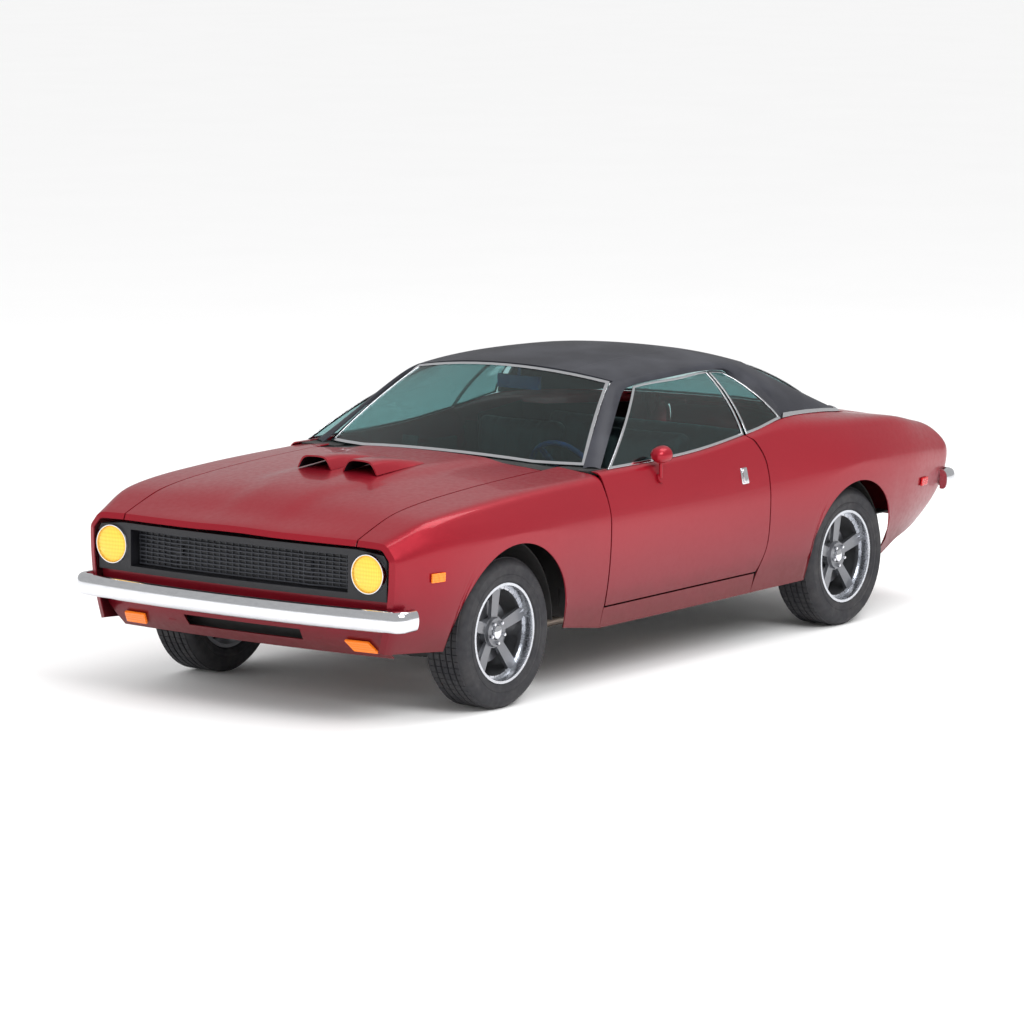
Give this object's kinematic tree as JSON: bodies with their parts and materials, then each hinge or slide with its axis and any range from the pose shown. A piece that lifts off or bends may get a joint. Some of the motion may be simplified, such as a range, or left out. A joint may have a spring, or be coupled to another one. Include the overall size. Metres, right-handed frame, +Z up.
{
  "type": "muscle car",
  "caption": "Two-door hardtop muscle car with a vinyl roof, opening doors, hood and trunk lid, steered front wheels and free-rolling wheels.",
  "frame": {"origin": "on the floor below the middle of the car's length and width", "axes": "+X forward, +Y to the car's left, +Z up"},
  "size_m": [4.683, 1.89, 1.3606],
  "materials": {
    "amber_lens": "amber lens",
    "blue_trim": "satin blue",
    "body_paint": "gloss red",
    "chrome": "polished",
    "dark_plastic": "satin black",
    "engine_iron": "painted iron",
    "lamp_glass": "warm lamp lens",
    "red_lens": "red lens",
    "seat_vinyl": "black vinyl",
    "tyre": "matt black rubber",
    "underbody_steel": "satin black",
    "vinyl": "grained black vinyl",
    "wheel_rim": "satin grey",
    "window_glass": "tinted glass"
  },
  "bodies": {
    "body": {"floor_pan": "underbody_steel", "rocker_panels": "body_paint", "front_fenders": "body_paint", "engine_bay": "underbody_steel", "grille_panel": "dark_plastic", "headlamps": "lamp_glass", "front_valance": "body_paint", "front_bumper": "chrome", "amber_lamps": "amber_lens", "bulkhead": "underbody_steel", "dashboard": "dark_plastic", "windshield": "window_glass", "rear_window": "window_glass", "quarter_windows": "window_glass", "roof": "vinyl", "quarter_panels": "body_paint", "inner_quarters": "dark_plastic", "rear_deck_panel": "body_paint", "tail_panel": "body_paint", "red_lamps": "red_lens", "rear_bumper": "chrome", "front_seats": "seat_vinyl", "rear_seat": "seat_vinyl", "center_console": "dark_plastic", "inside_mirror": "blue_trim", "engine": "engine_iron", "front_suspension": "underbody_steel", "rear_axle": "underbody_steel", "exhaust": "underbody_steel", "fuel_tank": "underbody_steel"},
    "door_left": {"door_left": "body_paint", "door_glass_left": "window_glass", "door_mirror": "body_paint"},
    "door_right": {"door_right": "body_paint", "door_glass_right": "window_glass"},
    "hood": {"hood": "body_paint", "hood_scoops": "body_paint"},
    "trunk_lid": {"trunk_lid": "body_paint"},
    "knuckle_left": {"knuckle_left": "underbody_steel"},
    "knuckle_right": {"knuckle_right": "underbody_steel"},
    "wheel_front_left": {"tyre_front_left": "tyre", "rim_front_left": "wheel_rim"},
    "wheel_front_right": {"tyre_front_right": "tyre", "rim_front_right": "wheel_rim"},
    "wheel_rear_left": {"tyre_rear_left": "tyre", "rim_rear_left": "wheel_rim"},
    "wheel_rear_right": {"tyre_rear_right": "tyre", "rim_rear_right": "wheel_rim"},
    "steering_wheel": {"steering_wheel": "blue_trim"}
  },
  "joints": [
    {"name": "door_left_hinge", "type": "hinge", "parent": "body", "child": "door_left", "pos_m": [0.8465, 0.89, 0.7], "axis": [0, 0, -1], "range_deg": [0, 65]},
    {"name": "door_right_hinge", "type": "hinge", "parent": "body", "child": "door_right", "pos_m": [0.8465, -0.89, 0.7], "axis": [0, 0, 1], "range_deg": [0, 65]},
    {"name": "hood_hinge", "type": "hinge", "parent": "body", "child": "hood", "pos_m": [0.8115, 0, 0.936], "axis": [0, -1, 0], "range_deg": [0, 50]},
    {"name": "trunk_hinge", "type": "hinge", "parent": "body", "child": "trunk_lid", "pos_m": [-1.6015, 0, 0.947], "axis": [0, 1, 0], "range_deg": [0, 60]},
    {"name": "steer_left", "type": "hinge", "parent": "body", "child": "knuckle_left", "pos_m": [1.4615, 0.653, 0.33], "axis": [0, 0, 1], "range_deg": [-33, 33]},
    {"name": "steer_right", "type": "hinge", "parent": "body", "child": "knuckle_right", "pos_m": [1.4615, -0.653, 0.33], "axis": [0, 0, 1], "range_deg": [-33, 33]},
    {"name": "steering_wheel_turn", "type": "hinge", "parent": "body", "child": "steering_wheel", "pos_m": [0.3295, 0.37, 0.845], "axis": [-0.9063, 0, 0.4226], "range_deg": [-528, 528]},
    {"name": "spin_front_left", "type": "hinge", "parent": "knuckle_left", "child": "wheel_front_left", "pos_m": [1.4615, 0.758, 0.33], "axis": [0, 1, 0], "continuous": true},
    {"name": "spin_front_right", "type": "hinge", "parent": "knuckle_right", "child": "wheel_front_right", "pos_m": [1.4615, -0.758, 0.33], "axis": [0, 1, 0], "continuous": true},
    {"name": "spin_rear_left", "type": "hinge", "parent": "body", "child": "wheel_rear_left", "pos_m": [-1.2815, 0.771, 0.33], "axis": [0, 1, 0], "continuous": true},
    {"name": "spin_rear_right", "type": "hinge", "parent": "body", "child": "wheel_rear_right", "pos_m": [-1.2815, -0.771, 0.33], "axis": [0, 1, 0], "continuous": true}
  ],
  "couplings": [
    {"joint": "steer_right", "follows": "steer_left", "ratio": 1},
    {"joint": "steering_wheel_turn", "follows": "steer_left", "ratio": 16}
  ]
}
